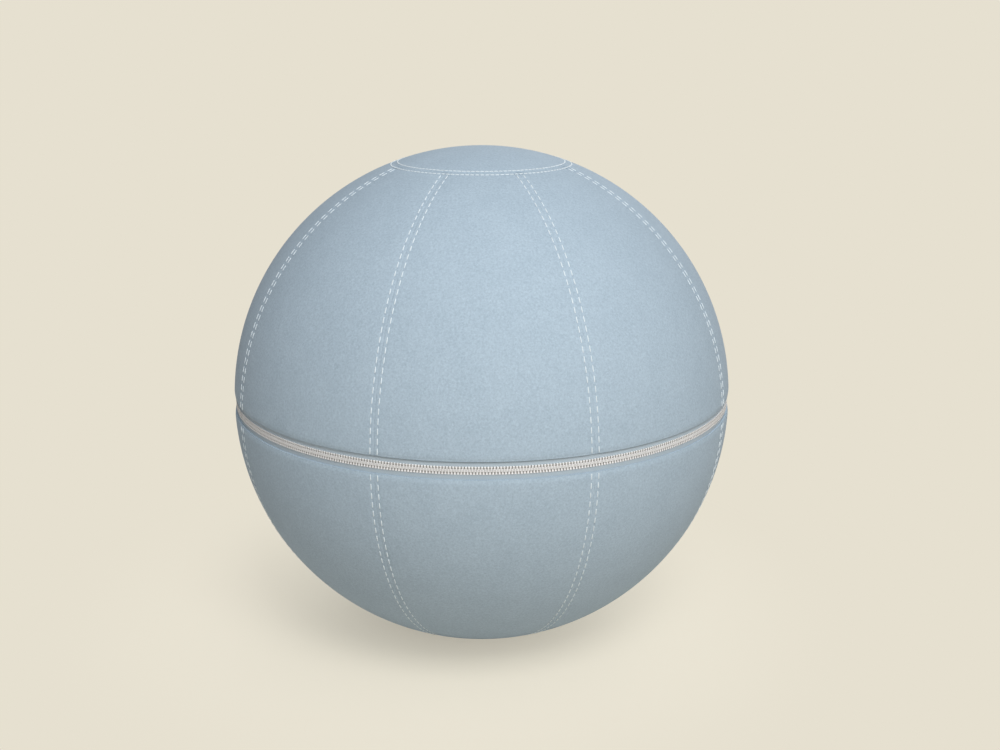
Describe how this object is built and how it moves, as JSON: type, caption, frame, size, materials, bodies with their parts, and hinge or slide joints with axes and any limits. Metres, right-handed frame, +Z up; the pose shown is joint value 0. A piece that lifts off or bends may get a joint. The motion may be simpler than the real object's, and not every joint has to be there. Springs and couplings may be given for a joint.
{
  "type": "sitting ball",
  "caption": "Air-filled sitting ball in a sewn felt cover of gores and round end panels, with a zip round its middle that opens the cover.",
  "frame": {"origin": "middle of the flat patch on the floor under the ball", "axes": "+Z up, -Y towards the front, +Y towards the tab where the zip begins and ends"},
  "size_m": [0.65, 0.6532, 0.6461],
  "materials": {
    "felt": "matt wool felt, fine heather grain",
    "zip_tape": "herringbone woven tape",
    "zip_teeth": "satin moulded plastic",
    "slider_metal": "satin cast metal",
    "ball_skin": "satin soft plastic",
    "valve_plastic": "satin soft plastic"
  },
  "bodies": {
    "lower_half": {"lower_gore_1": "felt", "lower_gore_2": "felt", "lower_gore_3": "felt", "lower_gore_4": "felt", "lower_gore_5": "felt", "lower_gore_6": "felt", "lower_gore_7": "felt", "lower_gore_8": "felt", "bottom_panel": "felt", "lower_zip_tape": "zip_tape", "lower_zip_teeth": "zip_teeth", "lower_top_stop": "zip_teeth", "bottom_stop": "zip_teeth", "back_tab": "felt", "inner_ball": "ball_skin", "valve_seat": "ball_skin"},
    "upper_half": {"upper_gore_1": "felt", "upper_gore_2": "felt", "upper_gore_3": "felt", "upper_gore_4": "felt", "upper_gore_5": "felt", "upper_gore_6": "felt", "upper_gore_7": "felt", "upper_gore_8": "felt", "top_panel": "felt", "upper_zip_tape": "zip_tape", "upper_zip_teeth": "zip_teeth", "upper_top_stop": "zip_teeth"},
    "slider": {"zip_slider": "slider_metal"},
    "pull": {"zip_pull": "slider_metal"},
    "plug": {"valve_plug": "valve_plastic"}
  },
  "joints": [
    {"name": "cover_open", "type": "hinge", "parent": "lower_half", "child": "upper_half", "pos_m": [0, 0.32615, 0.32593], "axis": [-1, 0, 0], "range_deg": [0, 110], "deforming": ["back_tab"]},
    {"name": "slider_run", "type": "hinge", "parent": "lower_half", "child": "slider", "pos_m": [0, 0, 0.32593], "axis": [0, 0, -1], "range_deg": [0, 347], "deforming": ["upper_zip_teeth", "upper_zip_tape", "lower_zip_teeth", "lower_zip_tape"]},
    {"name": "pull_flip", "type": "hinge", "parent": "slider", "child": "pull", "pos_m": [0.03523, 0.32588, 0.32593], "axis": [0, 0, 1], "range_deg": [0, 175]},
    {"name": "plug_draw", "type": "slide", "parent": "lower_half", "child": "plug", "axis": [0, -0.8192, 0.5736], "range_m": [0, 0.024]}
  ],
  "couplings": [
    {"joint": "cover_open", "follows": "slider_run", "ratio": 0.317},
    {"joint": "plug_draw", "follows": "slider_run", "m_per_rad": 0.0039628}
  ]
}
